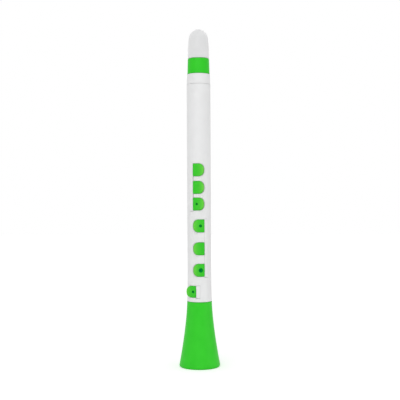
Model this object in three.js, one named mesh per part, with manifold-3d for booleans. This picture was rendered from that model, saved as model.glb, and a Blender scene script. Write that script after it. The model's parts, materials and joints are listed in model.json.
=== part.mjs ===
// A beginner's plastic clarinet: mouthpiece with reed, ligature and cap, a one-piece body with soft
// flap keys, and a flared bell. Millimetres, +Z up along the bore, the finger keys face -Y, and the
// origin is the centre of the bell's rim, on which the instrument stands.
import * as THREE from "three";
import { mergeVertices } from "three/addons/utils/BufferGeometryUtils.js";
import Module from "manifold-3d";

const wasm = await Module();
wasm.setup();

// Lengths along the bore, from the rim upwards
const BELL_HEIGHT = 65.2;
const BODY_LENGTH = 216.8;
const COLLAR_HEIGHT = 10;
const LIGATURE_HEIGHT = 15.2;
const TENON_LENGTH = 16;
const JOINT_GAP = 0.3;

// Bore, walls and the fits between pieces that pull apart
const BORE_RADIUS = 6.5;
const BODY_WALL = 5.4;
const TENON_WALL = 2.1;
const SLIDING_FIT = 0.3;
const EDGE_BREAK = 0.5;
const BODY_RADIUS = BORE_RADIUS + BODY_WALL;
const TENON_RADIUS = BORE_RADIUS + TENON_WALL;
const SOCKET_RADIUS = TENON_RADIUS + SLIDING_FIT;

// Seal rings on the tenons
const SEAL_SECTION_RADIUS = 0.6;
const SEAL_CLEARANCE = 0.2;
const SEAL_SETBACK = 4.5;
const SEAL_SPACING = 6;

// Foot of the body, which swells to meet the bell
const FOOT_FLARE = 0.55;
const FOOT_FLARE_HEIGHT = 32;

// Bell
const RIM_RADIUS = 20.8;
const BELL_FLARE_POWER = 1.5;
const BELL_WALL = 2.8;
const RIM_ROUND = 1.8;
const RIM_FACE = 1.4;
const BELL_THROAT_LENGTH = 14;

// Mouthpiece, reed, ligature and cap
const BEAK_LENGTH = 35;
const CAP_GRIP = 3.5;
const THROAT_RADIUS = 4.4;
const TABLE_WALL = 1.6;
const REED_THICKNESS = 2.9;
const REED_SEAT_GAP = 0.1;
const REED_TIP_THICKNESS = 0.4;
const REED_BUTT_SETBACK = 2.5;
const TIP_SLIMMING = 0.8;
const TIP_HALF_WIDTH = 5.2;
const TIP_ROUND_LENGTH = 2.5;
const TIP_THICKNESS = 1.4;
const TIP_OPENING = 1;
const FACING_LENGTH = 13;
const WINDOW_WIDTH = 8;
const WINDOW_LENGTH = 18;
const WINDOW_END_WALL = 3;
const CHAMBER_TAPER_LENGTH = 10;
const LIGATURE_WALL = 1.35;
const LIGATURE_SWELL = 0.35;
const CAP_WALL = 1.3;
const CAP_TAPER = 0.9;
const CAP_TAPER_POWER = 3;
const CAP_DOME_HEIGHT = 10.4;

// Flap keys: a soft D-shaped plate that swings on its flat edge and closes a tone hole
const PAD_WIDTH = 11.1;
const PAD_HEIGHT = 12.5;
const LITTLE_FINGER_PAD_WIDTH = 10.8;
const LITTLE_FINGER_PAD_HEIGHT = 11.4;
const PAD_NOSE_LENGTH = 6.1;
const PAD_NOSE_POWER = 2.4;
const PAD_THICKNESS = 1.6;
const PAD_ROUND = 0.4;
const KEY_LIFT = 12;
const HINGE_DEPTH = 0.7;
const SEAL_DISC_OVERLAP = 0.2;
const SEAL_DISC_THICKNESS = 0.6;
const CLOSED_GAP = 0.2;
const RIM_RING_HEIGHT = 0.6;
const TONE_HOLE_RADIUS = 3.2;
const TONE_HOLE_OFFSET = 0.5;
const RIM_RING_WALL = 0.8;
const POCKET_CLEARANCE = 0.5;
const VENT_SETBACK = 3.6;
const LITTLE_FINGER_VENT_SETBACK = 2.7;
const SMALL_VENT_RADIUS = 0.8;
const MIDDLE_VENT_RADIUS = 0.9;
const LARGE_VENT_RADIUS = 1.4;

// Places of the keys: the lowest one's height above the body's foot, and the step from each key up to the
// next one
const LITTLE_FINGER_KEY_HEIGHT = 10.2;
const RIGHT_KEY_3_STEP = 21.4;
const RIGHT_KEY_2_STEP = 21.3;
const RIGHT_KEY_1_STEP = 22.6;
const LEFT_KEY_3_STEP = 21.7;
const LEFT_KEY_2_STEP = 16.5;
const LEFT_KEY_1_STEP = 17.4;
const THUMB_KEY_STEP = 10.4;
const RIGHT_KEY_3_HEIGHT = LITTLE_FINGER_KEY_HEIGHT + RIGHT_KEY_3_STEP;
const RIGHT_KEY_2_HEIGHT = RIGHT_KEY_3_HEIGHT + RIGHT_KEY_2_STEP;
const RIGHT_KEY_1_HEIGHT = RIGHT_KEY_2_HEIGHT + RIGHT_KEY_1_STEP;
const LEFT_KEY_3_HEIGHT = RIGHT_KEY_1_HEIGHT + LEFT_KEY_3_STEP;
const LEFT_KEY_2_HEIGHT = LEFT_KEY_3_HEIGHT + LEFT_KEY_2_STEP;
const LEFT_KEY_1_HEIGHT = LEFT_KEY_2_HEIGHT + LEFT_KEY_1_STEP;
const THUMB_KEY_HEIGHT = LEFT_KEY_1_HEIGHT + THUMB_KEY_STEP;

// Hinge bars, which clamp the keys' soft spines into grooves beside the pads
const BAR_ANGLE = 37.5;
const BAR_WIDTH = 3.9;
const BAR_RISE = 0.4;
const BAR_THICKNESS = 1.6;
const BAR_END_MARGIN = 0.75;
const BAR_CLEARANCE = 0.3;
const SPINE_THICKNESS = 1;
const SPINE_LIP = 0.45;
const PEG_RADIUS = 0.9;
const PEG_DEPTH = 1.3;

// Thumb rest on the back
const REST_ABOVE_FOOT = 62.5;
const REST_SADDLE_LENGTH = 22;
const REST_SADDLE_WIDTH = 11;
const REST_SADDLE_THICKNESS = 1.6;
const REST_SHELF_REACH = 6.4;
const REST_SHELF_THICKNESS = 2.6;
const REST_SHELF_DROOP = 3.5;

// The keys by bank, each at its height above the body's foot. A bank's keys share a spine and a hinge
// bar; turn is the bank's angle round the bore from the front, in degrees, and a flipped bank has its
// hinge on the other side. padWidth and padHeight are the size of its keys. vent is the radius of the
// small hole through a key, or 0, and ventSetback its distance from the bank's hinge edges.
const BANKS = [
  {
    name: "left_hand",
    turn: 0,
    flipped: false,
    pegs: 4,
    padWidth: PAD_WIDTH,
    padHeight: PAD_HEIGHT,
    ventSetback: VENT_SETBACK,
    keys: [
      { name: "left_hand_key_1", above: LEFT_KEY_1_HEIGHT, vent: 0 },
      { name: "left_hand_key_2", above: LEFT_KEY_2_HEIGHT, vent: 0 },
      { name: "left_hand_key_3", above: LEFT_KEY_3_HEIGHT, vent: SMALL_VENT_RADIUS },
    ],
  },
  {
    name: "right_hand",
    turn: 0,
    flipped: true,
    pegs: 4,
    padWidth: PAD_WIDTH,
    padHeight: PAD_HEIGHT,
    ventSetback: VENT_SETBACK,
    keys: [
      { name: "right_hand_key_1", above: RIGHT_KEY_1_HEIGHT, vent: MIDDLE_VENT_RADIUS },
      { name: "right_hand_key_2", above: RIGHT_KEY_2_HEIGHT, vent: 0 },
      { name: "right_hand_key_3", above: RIGHT_KEY_3_HEIGHT, vent: LARGE_VENT_RADIUS },
    ],
  },
  {
    name: "little_finger",
    turn: -41.5,
    flipped: true,
    pegs: 2,
    padWidth: LITTLE_FINGER_PAD_WIDTH,
    padHeight: LITTLE_FINGER_PAD_HEIGHT,
    ventSetback: LITTLE_FINGER_VENT_SETBACK,
    keys: [{ name: "little_finger_key", above: LITTLE_FINGER_KEY_HEIGHT, vent: SMALL_VENT_RADIUS }],
  },
  {
    name: "thumb",
    turn: 180,
    flipped: false,
    pegs: 2,
    padWidth: PAD_WIDTH,
    padHeight: PAD_HEIGHT,
    ventSetback: VENT_SETBACK,
    keys: [{ name: "thumb_key", above: THUMB_KEY_HEIGHT, vent: 0 }],
  },
];

// Facets of round shapes
const SEGMENTS = 36;
const HOLE_SEGMENTS = 18;
const PEG_SEGMENTS = 8;
const SEAL_RING_SEGMENTS = 24;
const SEAL_SECTION_SEGMENTS = 6;
const CURVE_STEPS = 6;
const NOSE_STEPS = 10;
const MERGE_DISTANCE = 1e-4;
const PAST = 2; // how far a cutting shape runs past the surface it cuts

// Heights worked out from the lengths above
const BODY_FOOT = BELL_HEIGHT + JOINT_GAP;
const BODY_TOP = BODY_FOOT + BODY_LENGTH;
const COLLAR_FOOT = BODY_TOP + JOINT_GAP;
const COLLAR_TOP = COLLAR_FOOT + COLLAR_HEIGHT;
const LIGATURE_FOOT = COLLAR_TOP + JOINT_GAP;
const CAP_FOOT = LIGATURE_FOOT + LIGATURE_HEIGHT + JOINT_GAP;
const SHANK_TOP = CAP_FOOT + CAP_GRIP;
const TIP_HEIGHT = COLLAR_TOP + BEAK_LENGTH;

// Radii round the mouthpiece: the reed's round back completes the round shank
const TABLE_OFFSET = THROAT_RADIUS + TABLE_WALL;
const SHANK_RADIUS = TABLE_OFFSET + REED_SEAT_GAP + REED_THICKNESS;
const RING_BORE_RADIUS = SHANK_RADIUS + SLIDING_FIT;
const COLLAR_RADIUS = BODY_RADIUS;

// Seal rings lie between a tenon's groove and the socket round it
const SEAL_RING_RADIUS = SOCKET_RADIUS - SEAL_CLEARANCE - SEAL_SECTION_RADIUS;
const SEAL_GROOVE_RADIUS = SEAL_RING_RADIUS - SEAL_SECTION_RADIUS - SEAL_CLEARANCE;

const radians = THREE.MathUtils.degToRad;

const WHITE_PLASTIC = { color: 0xe6e6e6, roughness: 0.35, metalness: 0 };
const GREEN_PLASTIC = { color: 0x3ecb32, roughness: 0.4, metalness: 0 };
const GREEN_SILICONE = { color: 0x4ecc38, roughness: 0.55, metalness: 0 };
const REED_PLASTIC = { color: 0xf2f0e4, roughness: 0.3, metalness: 0 };
const SEAL_RUBBER = { color: 0x202020, roughness: 0.6, metalness: 0 };

// A closed geometry as a solid that can be joined and cut
function solidOf(geometry) {
  const bare = geometry.clone();
  bare.deleteAttribute("normal");
  bare.deleteAttribute("uv");
  const merged = mergeVertices(bare, MERGE_DISTANCE);
  const corners = merged.index.array;
  const triangles = [];
  for (let i = 0; i < corners.length; i += 3) {
    const [a, b, c] = corners.slice(i, i + 3);
    const collapsed = a === b || b === c || c === a;
    if (!collapsed) triangles.push(a, b, c);
  }
  const mesh = new wasm.Mesh({
    numProp: 3,
    vertProperties: merged.attributes.position.array,
    triVerts: new Uint32Array(triangles),
  });
  return new wasm.Manifold(mesh);
}

// A solid's surface as a geometry, for a mesh
function geometryOf(solid) {
  const { vertProperties, triVerts } = solid.getMesh();
  const geometry = new THREE.BufferGeometry();
  geometry.setAttribute("position", new THREE.BufferAttribute(vertProperties, 3));
  geometry.setIndex(new THREE.BufferAttribute(triVerts, 1));
  geometry.computeVertexNormals();
  return geometry;
}

function namedMesh(name, geometry, material) {
  const mesh = new THREE.Mesh(geometry, new THREE.MeshStandardMaterial(material));
  mesh.name = name;
  return mesh;
}

// A round solid from [radius, height] points, outer side upwards and inner side downwards
function turned(profile, segments = SEGMENTS) {
  const points = profile.map(([radius, height]) => new THREE.Vector2(radius, height));
  const closesOnAxis = profile[0][0] === 0;
  if (!closesOnAxis) points.push(points[0].clone());
  return new THREE.LatheGeometry(points, segments).rotateX(Math.PI / 2);
}

// A flat outline drawn in (x, y), as a prism along +Z from one height to another
function prism(outline, from, to) {
  const shape = new THREE.Shape(outline.map(([x, y]) => new THREE.Vector2(x, y)));
  const settings = { depth: to - from, bevelEnabled: false };
  return new THREE.ExtrudeGeometry(shape, settings).translate(0, 0, from);
}

// Turns a prism drawn in (across, up) so that its height runs outwards, along -Y
function facingOut(geometry) {
  return geometry.rotateX(Math.PI / 2);
}

// A side view drawn in (y, z), as a prism of the given width centred on x = 0
function sideCut(outline, width) {
  const flat = prism(outline, -width / 2, width / 2);
  const axes = new THREE.Matrix4();
  axes.set(0, 0, 1, 0, 1, 0, 0, 0, 0, 1, 0, 0, 0, 0, 0, 1);
  return flat.applyMatrix4(axes);
}

// A round peg or hole that runs outwards, along -Y, from one distance off the axis to another
function radialPeg(radius, from, to, across, up, segments = PEG_SEGMENTS) {
  const peg = new THREE.CylinderGeometry(radius, radius, to - from, segments);
  return peg.translate(across, -(from + to) / 2, up);
}

// A value that runs from one number to another in equal steps
function steps(from, to, count) {
  return Array.from({ length: count + 1 }, (_, i) => from + ((to - from) * i) / count);
}

// The body's outer radius at a height
function bodyRadius(height) {
  const share = Math.max(0, 1 - (height - BODY_FOOT) / FOOT_FLARE_HEIGHT);
  return BODY_RADIUS + FOOT_FLARE * share ** 2;
}

// The bell's outer radius at a height
function bellRadius(height) {
  const top = bodyRadius(BODY_FOOT);
  const share = Math.max(0, 1 - height / BELL_HEIGHT);
  return top + (RIM_RADIUS - top) * share ** BELL_FLARE_POWER;
}

// A groove in a tenon for one seal ring, as four [radius, height] points going up
function sealGroove(middle) {
  const half = SEAL_SECTION_RADIUS + SEAL_CLEARANCE;
  return [
    [TENON_RADIUS, middle - half],
    [SEAL_GROOVE_RADIUS, middle - half],
    [SEAL_GROOVE_RADIUS, middle + half],
    [TENON_RADIUS, middle + half],
  ];
}

function sealRing(name, height) {
  const ring = new THREE.TorusGeometry(
    SEAL_RING_RADIUS,
    SEAL_SECTION_RADIUS,
    SEAL_SECTION_SEGMENTS,
    SEAL_RING_SEGMENTS,
  );
  const mesh = namedMesh(name, ring, SEAL_RUBBER);
  mesh.position.z = height;
  return mesh;
}

// Heights of the seal rings on the two tenons
const MOUTHPIECE_SEALS = [
  { name: "mouthpiece_seal_upper", height: COLLAR_FOOT - SEAL_SETBACK },
  { name: "mouthpiece_seal_lower", height: COLLAR_FOOT - SEAL_SETBACK - SEAL_SPACING },
];
const BELL_SEAL = { name: "bell_seal", height: BODY_FOOT - SEAL_SETBACK };

// The bell: a flared shell with a socket for the body's tenon
function bell() {
  const socketFloor = BELL_HEIGHT - TENON_LENGTH - JOINT_GAP;
  const throatFoot = socketFloor - BELL_THROAT_LENGTH;
  const wallInside = (height) => bellRadius(height) - BELL_WALL;
  const rimInside = RIM_RADIUS - RIM_ROUND - RIM_FACE;
  const outside = steps(RIM_ROUND, BELL_HEIGHT, CURVE_STEPS).map((z) => [bellRadius(z), z]);
  const throat = new THREE.QuadraticBezierCurve(
    new THREE.Vector2(BORE_RADIUS, socketFloor),
    new THREE.Vector2(BORE_RADIUS, (socketFloor + throatFoot) / 2),
    new THREE.Vector2(wallInside(throatFoot), throatFoot),
  );
  const flare = new THREE.QuadraticBezierCurve(
    new THREE.Vector2(wallInside(throatFoot), throatFoot),
    new THREE.Vector2(wallInside(throatFoot / 2), throatFoot / 2),
    new THREE.Vector2(rimInside, 0),
  );
  const inside = [...throat.getPoints(CURVE_STEPS - 3), ...flare.getPoints(CURVE_STEPS - 3).slice(1)];
  return turned([
    [RIM_RADIUS - RIM_ROUND, 0],
    [RIM_RADIUS - RIM_ROUND * (1 - Math.SQRT1_2), RIM_ROUND * (1 - Math.SQRT1_2)],
    ...outside,
    [SOCKET_RADIUS, BELL_HEIGHT],
    [SOCKET_RADIUS, socketFloor],
    ...inside.map((point) => [point.x, point.y]),
  ]);
}

// The body before its keys are let in: a bored tube, a socket at the top and a tenon below
function bodyBlank() {
  const tenonEnd = BODY_FOOT - TENON_LENGTH;
  const flareTop = BODY_FOOT + FOOT_FLARE_HEIGHT;
  const foot = steps(BODY_FOOT, flareTop, CURVE_STEPS - 2).map((z) => [bodyRadius(z), z]);
  const socketFloor = BODY_TOP - TENON_LENGTH - JOINT_GAP;
  return turned([
    [TENON_RADIUS - EDGE_BREAK, tenonEnd],
    [TENON_RADIUS, tenonEnd + EDGE_BREAK],
    ...sealGroove(BELL_SEAL.height),
    [TENON_RADIUS, BODY_FOOT],
    ...foot,
    [BODY_RADIUS, BODY_TOP - EDGE_BREAK],
    [BODY_RADIUS - EDGE_BREAK, BODY_TOP],
    [SOCKET_RADIUS, BODY_TOP],
    [SOCKET_RADIUS, socketFloor],
    [BORE_RADIUS, socketFloor],
    [BORE_RADIUS, tenonEnd],
  ]);
}

// A key's outline, square on: across from its flat hinge edge to its tip, and up
function padOutline(hingeEdge, tip, halfHeight) {
  const noseFoot = tip - PAD_NOSE_LENGTH;
  const rounded = (share) => Math.sign(share) * Math.abs(share) ** (2 / PAD_NOSE_POWER);
  const nose = steps(-Math.PI / 2, Math.PI / 2, NOSE_STEPS).map((angle) => [
    noseFoot + PAD_NOSE_LENGTH * rounded(Math.max(0, Math.cos(angle))),
    halfHeight * rounded(Math.sin(angle)),
  ]);
  return [[hingeEdge, -halfHeight], ...nose, [hingeEdge, halfHeight]];
}

// The levels and places that a bank's pieces share, in a frame whose -Y points out of the body
function bankPlan({ keys, padWidth, padHeight, ventSetback }) {
  const heights = keys.map((key) => BODY_FOOT + key.above);
  const middle = (Math.max(...heights) + Math.min(...heights)) / 2;
  const surface = bodyRadius(middle);
  const knuckle = PAD_THICKNESS / 2;
  const hingeOut = surface - HINGE_DEPTH;
  const slope = radians(BAR_ANGLE);
  const hingeFromBar = BAR_WIDTH / 2 + BAR_CLEARANCE + knuckle;
  const hingeAcross = (hingeFromBar - hingeOut * Math.sin(slope)) / Math.cos(slope);
  const hingeEdge = hingeAcross - knuckle;
  const ringTop = hingeOut - knuckle - SEAL_DISC_THICKNESS - CLOSED_GAP;
  const barFoot = surface + BAR_RISE - BAR_THICKNESS;
  const span = Math.max(...heights) - Math.min(...heights) + padHeight;
  const spineTop = barFoot - SEAL_CLEARANCE;
  return {
    middle,
    surface,
    knuckle,
    hingeOut,
    hingeAcross,
    hingeEdge,
    tip: hingeEdge + padWidth,
    padWidth,
    padHeight,
    ventAcross: ventSetback - knuckle,
    ringRadius: TONE_HOLE_RADIUS + RIM_RING_WALL,
    ringTop,
    pocketFloor: ringTop - RIM_RING_HEIGHT,
    barFoot,
    barLength: span + 2 * BAR_END_MARGIN,
    spineTop,
    spineFoot: spineTop - SPINE_THICKNESS,
  };
}

// A group at a bank's middle height, turned so that its -Y points out through the bank
function bankGroup(bank, plan) {
  const group = new THREE.Group();
  group.position.z = plan.middle;
  group.rotation.set(0, bank.flipped ? Math.PI : 0, radians(bank.turn), "ZYX");
  group.updateMatrix();
  return group;
}

// A key's place along its bank
function alongBank(bank, plan, key) {
  const offset = BODY_FOOT + key.above - plan.middle;
  return bank.flipped ? -offset : offset;
}

// Places of the pegs along a hinge bar
function pegPlaces(bank, plan) {
  const pitch = plan.barLength / bank.pegs;
  return steps(-(plan.barLength - pitch) / 2, (plan.barLength - pitch) / 2, bank.pegs - 1);
}

// A rectangle drawn in (sideways, outwards) on the hinge bar's own radius
function barSection(left, right, foot, top) {
  return [
    [left, -foot],
    [right, -foot],
    [right, -top],
    [left, -top],
  ];
}

// Turns a shape drawn square to the hinge bar into its bank's frame
function atBar(geometry) {
  return geometry.rotateZ(-radians(BAR_ANGLE));
}

// What is cut out of the body under one key: a pocket, less the raised ring, and the tone hole
function keyCut(bank, plan, key) {
  const up = alongBank(bank, plan, key);
  const outline = padOutline(
    plan.hingeEdge - POCKET_CLEARANCE,
    plan.tip + POCKET_CLEARANCE,
    plan.padHeight / 2 + POCKET_CLEARANCE,
  );
  const pocket = facingOut(prism(outline, plan.pocketFloor, plan.surface + PAST)).translate(0, 0, up);
  const roundAt = (radius, from, to) => radialPeg(radius, from, to, TONE_HOLE_OFFSET, up, HOLE_SEGMENTS);
  const ring = roundAt(plan.ringRadius, plan.pocketFloor - PAST, plan.ringTop);
  const hole = roundAt(TONE_HOLE_RADIUS, BORE_RADIUS / 2, plan.surface);
  return { pocket, ring, hole };
}

// What is cut out of the body beside a bank: the groove for its spine and bar, and the peg holes
function grooveCuts(bank, plan) {
  const side = BAR_WIDTH / 2 + BAR_CLEARANCE;
  const half = plan.barLength / 2 + BAR_CLEARANCE;
  const floor = plan.spineFoot - SEAL_CLEARANCE;
  const section = barSection(-side, side + SPINE_LIP, floor, plan.surface + PAST);
  const holeFoot = floor - PEG_DEPTH - BAR_CLEARANCE;
  const holeRadius = PEG_RADIUS + BAR_CLEARANCE;
  const holes = pegPlaces(bank, plan).map((up) => radialPeg(holeRadius, holeFoot, floor + PAST, 0, up));
  return [prism(section, -half, half), ...holes].map(atBar);
}

// The body with the pockets, tone holes and grooves of every bank, and the thumb rest's sockets
function bodyTube(banks) {
  let body = solidOf(bodyBlank());
  for (const { bank, plan, group } of banks) {
    const inBody = (geometry) => solidOf(geometry.applyMatrix4(group.matrix));
    for (const key of bank.keys) {
      const { pocket, ring, hole } = keyCut(bank, plan, key);
      body = body.subtract(inBody(pocket).subtract(inBody(ring))).subtract(inBody(hole));
    }
    for (const cut of grooveCuts(bank, plan)) body = body.subtract(inBody(cut));
  }
  for (const hole of restPegs(BAR_CLEARANCE)) body = body.subtract(solidOf(hole));
  return geometryOf(body);
}

// A soft key in its closed place, drawn about its hinge line: a rounded plate on a knuckle, with the
// disc that closes the tone hole under it
function flapKey(plan, key) {
  const tip = plan.padWidth - plan.knuckle - PAD_ROUND;
  const outline = padOutline(PAD_ROUND, tip, plan.padHeight / 2 - PAD_ROUND);
  const shape = new THREE.Shape(outline.map(([x, y]) => new THREE.Vector2(x, y)));
  const plate = new THREE.ExtrudeGeometry(shape, {
    depth: PAD_THICKNESS - 2 * PAD_ROUND,
    bevelThickness: PAD_ROUND,
    bevelSize: PAD_ROUND,
    bevelSegments: 1,
  });
  facingOut(plate.translate(0, 0, PAD_ROUND - plan.knuckle));
  const knuckle = new THREE.CylinderGeometry(
    plan.knuckle,
    plan.knuckle,
    plan.padHeight - 2 * PAD_ROUND,
    HOLE_SEGMENTS,
  ).rotateX(Math.PI / 2);
  const discAcross = TONE_HOLE_OFFSET - plan.hingeAcross;
  const discRadius = plan.ringRadius + SEAL_DISC_OVERLAP;
  const discFoot = -plan.knuckle - SEAL_DISC_THICKNESS;
  const disc = radialPeg(discRadius, discFoot, PAD_ROUND - plan.knuckle, discAcross, 0, HOLE_SEGMENTS);
  let flap = solidOf(plate).add(solidOf(knuckle)).add(solidOf(disc));
  if (key.vent > 0) {
    const top = plan.knuckle + PAST;
    const vent = radialPeg(key.vent, discFoot - PAST, top, plan.ventAcross, 0, HOLE_SEGMENTS);
    flap = flap.subtract(solidOf(vent));
  }
  return geometryOf(flap);
}

// The soft strip that carries a bank's keys, clamped under the bar, with holes for its pegs
function spine(bank, plan) {
  const side = BAR_WIDTH / 2;
  const section = barSection(-side, side + SPINE_LIP, plan.spineFoot, plan.spineTop);
  let strip = solidOf(atBar(prism(section, -plan.barLength / 2, plan.barLength / 2)));
  for (const up of pegPlaces(bank, plan)) {
    const hole = radialPeg(PEG_RADIUS + BAR_CLEARANCE, plan.spineFoot - PAST, plan.spineTop + PAST, 0, up);
    strip = strip.subtract(solidOf(atBar(hole)));
  }
  return geometryOf(strip);
}

// A hinge bar: its outer face follows the body a little proud of it, and its pegs reach through the spine
function hingeBar(bank, plan) {
  const faceRadius = plan.surface + BAR_RISE;
  const halfAngle = Math.asin(BAR_WIDTH / 2 / faceRadius);
  const face = steps(halfAngle, -halfAngle, CURVE_STEPS - 3).map((angle) => [
    faceRadius * Math.sin(angle),
    -faceRadius * Math.cos(angle),
  ]);
  const section = [[-BAR_WIDTH / 2, -plan.barFoot], [BAR_WIDTH / 2, -plan.barFoot], ...face];
  let bar = solidOf(atBar(prism(section, -plan.barLength / 2, plan.barLength / 2)));
  const pegEnd = plan.spineFoot - SEAL_CLEARANCE - PEG_DEPTH;
  for (const up of pegPlaces(bank, plan)) {
    bar = bar.add(solidOf(atBar(radialPeg(PEG_RADIUS, pegEnd, plan.barFoot + SEAL_CLEARANCE, 0, up))));
  }
  return geometryOf(bar);
}

// The two pegs that hold the thumb rest, or the holes for them when room is added
function restPegs(room) {
  const saddleFoot = BODY_RADIUS + BAR_CLEARANCE;
  const inner = saddleFoot - BODY_WALL / 2 - room;
  const outer = saddleFoot + REST_SADDLE_THICKNESS / 2;
  const offset = REST_SADDLE_LENGTH / 4;
  return [-offset, offset].map((up) => {
    const peg = radialPeg(PEG_RADIUS + room, inner, outer, 0, BODY_FOOT + REST_ABOVE_FOOT + up);
    return peg.rotateZ(Math.PI);
  });
}

// The thumb rest: a saddle on the back of the body with a drooping shelf for the right thumb
function thumbRest() {
  const inner = BODY_RADIUS + BAR_CLEARANCE;
  const outer = inner + REST_SADDLE_THICKNESS;
  const foot = BODY_FOOT + REST_ABOVE_FOOT - REST_SADDLE_LENGTH / 2;
  const top = foot + REST_SADDLE_LENGTH;
  const sleeve = solidOf(
    turned([
      [outer, foot],
      [outer, top],
      [inner, top],
      [inner, foot],
    ]),
  );
  const saddleSide = [
    [0, foot],
    [outer + PAST, foot],
    [outer + PAST, top],
    [0, top],
  ];
  const saddle = sleeve.intersect(solidOf(sideCut(saddleSide, REST_SADDLE_WIDTH)));
  const shelfTop = top - REST_SHELF_DROOP / 2;
  const droop = new THREE.QuadraticBezierCurve(
    new THREE.Vector2(inner + REST_SADDLE_THICKNESS / 2, shelfTop),
    new THREE.Vector2(outer + REST_SHELF_REACH / 2, shelfTop),
    new THREE.Vector2(outer + REST_SHELF_REACH, shelfTop - REST_SHELF_DROOP),
  ).getPoints(CURVE_STEPS);
  const upper = droop.map((point) => [point.x, point.y]);
  const lower = droop.map((point) => [point.x, point.y - REST_SHELF_THICKNESS]).reverse();
  const shelf = solidOf(sideCut([...upper, ...lower], REST_SADDLE_WIDTH - 2 * EDGE_BREAK));
  let rest = saddle.add(shelf);
  for (const peg of restPegs(0)) rest = rest.add(solidOf(peg));
  return geometryOf(rest);
}

// The round envelope of the mouthpiece and its reed above the collar
function shankEnvelope(foot) {
  return [
    [0, foot],
    [SHANK_RADIUS, foot],
    [SHANK_RADIUS, SHANK_TOP],
    [SHANK_RADIUS - TIP_SLIMMING, TIP_HEIGHT],
    [0, TIP_HEIGHT],
  ];
}

// The front view shared by the beak and the reed: straight sides that narrow to a rounded tip
function tipOutline(foot, tip) {
  const roundFoot = tip - TIP_ROUND_LENGTH;
  const wide = SHANK_RADIUS + PAST;
  const nose = steps(0, Math.PI, NOSE_STEPS / 2).map((angle) => [
    TIP_HALF_WIDTH * Math.cos(angle),
    roundFoot + TIP_ROUND_LENGTH * Math.sin(angle),
  ]);
  return [[wide, foot], [wide, SHANK_TOP], ...nose, [-wide, SHANK_TOP], [-wide, foot]];
}

// The mouthpiece: tenon, collar, shank and beak, with the flat table for the reed on the back
function mouthpiece() {
  const tenonEnd = COLLAR_FOOT - TENON_LENGTH;
  const far = SHANK_RADIUS + PAST;
  const grooves = [...MOUTHPIECE_SEALS].reverse().flatMap((seal) => sealGroove(seal.height));
  const lower = turned([
    [0, tenonEnd],
    [TENON_RADIUS - EDGE_BREAK, tenonEnd],
    [TENON_RADIUS, tenonEnd + EDGE_BREAK],
    ...grooves,
    [TENON_RADIUS, COLLAR_FOOT],
    [COLLAR_RADIUS - EDGE_BREAK, COLLAR_FOOT],
    [COLLAR_RADIUS, COLLAR_FOOT + EDGE_BREAK],
    [COLLAR_RADIUS - EDGE_BREAK, COLLAR_TOP],
    [0, COLLAR_TOP],
  ]);
  const beakFace = TABLE_OFFSET - TIP_OPENING - TIP_THICKNESS;
  const beakCut = sideCut(
    [
      [-far, SHANK_TOP],
      [-SHANK_RADIUS, SHANK_TOP],
      [beakFace, TIP_HEIGHT],
      [beakFace, TIP_HEIGHT + PAST],
      [-far, TIP_HEIGHT + PAST],
    ],
    2 * far,
  );
  const tableCut = sideCut(
    [
      [TABLE_OFFSET, COLLAR_TOP + JOINT_GAP],
      [far, COLLAR_TOP + JOINT_GAP],
      [far, TIP_HEIGHT + PAST],
      [TABLE_OFFSET - TIP_OPENING, TIP_HEIGHT + PAST],
      [TABLE_OFFSET - TIP_OPENING, TIP_HEIGHT],
      [TABLE_OFFSET, TIP_HEIGHT - FACING_LENGTH],
    ],
    2 * far,
  );
  const windowTop = TIP_HEIGHT - WINDOW_END_WALL;
  const windowFoot = windowTop - WINDOW_LENGTH;
  const baffle = TABLE_OFFSET - TIP_OPENING - TIP_THICKNESS / 2;
  const chamberFront = -THROAT_RADIUS + EDGE_BREAK;
  const windowCut = sideCut(
    [
      [chamberFront, windowFoot],
      [far, windowFoot],
      [far, windowTop],
      [baffle, windowTop],
    ],
    WINDOW_WIDTH,
  );
  const boreTop = COLLAR_TOP - CHAMBER_TAPER_LENGTH / 2;
  const bore = turned([
    [0, tenonEnd - PAST],
    [BORE_RADIUS, tenonEnd - PAST],
    [BORE_RADIUS, boreTop],
    [THROAT_RADIUS, boreTop + CHAMBER_TAPER_LENGTH],
    [THROAT_RADIUS, windowFoot + EDGE_BREAK],
    [0, windowFoot + EDGE_BREAK],
  ]);
  const front = facingOut(prism(tipOutline(COLLAR_TOP - EDGE_BREAK, TIP_HEIGHT), -far, far));
  const beak = solidOf(turned(shankEnvelope(COLLAR_TOP - EDGE_BREAK)))
    .intersect(solidOf(front))
    .subtract(solidOf(beakCut))
    .subtract(solidOf(tableCut));
  return geometryOf(solidOf(lower).add(beak).subtract(solidOf(windowCut)).subtract(solidOf(bore)));
}

// The reed: flat on the table, round on its back, and thinned from the ligature to its tip
function reed() {
  const foot = COLLAR_TOP + REED_BUTT_SETBACK;
  const flat = TABLE_OFFSET + REED_SEAT_GAP;
  const vamp = CAP_FOOT;
  const side = sideCut(
    [
      [flat, foot],
      [flat + REED_THICKNESS, foot],
      [flat + REED_THICKNESS, vamp],
      [flat + REED_TIP_THICKNESS, TIP_HEIGHT],
      [flat, TIP_HEIGHT],
    ],
    2 * SHANK_RADIUS,
  );
  const far = SHANK_RADIUS + PAST;
  const front = facingOut(prism(tipOutline(foot, TIP_HEIGHT), -far, far));
  return geometryOf(solidOf(turned(shankEnvelope(foot))).intersect(solidOf(side)).intersect(solidOf(front)));
}

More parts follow.
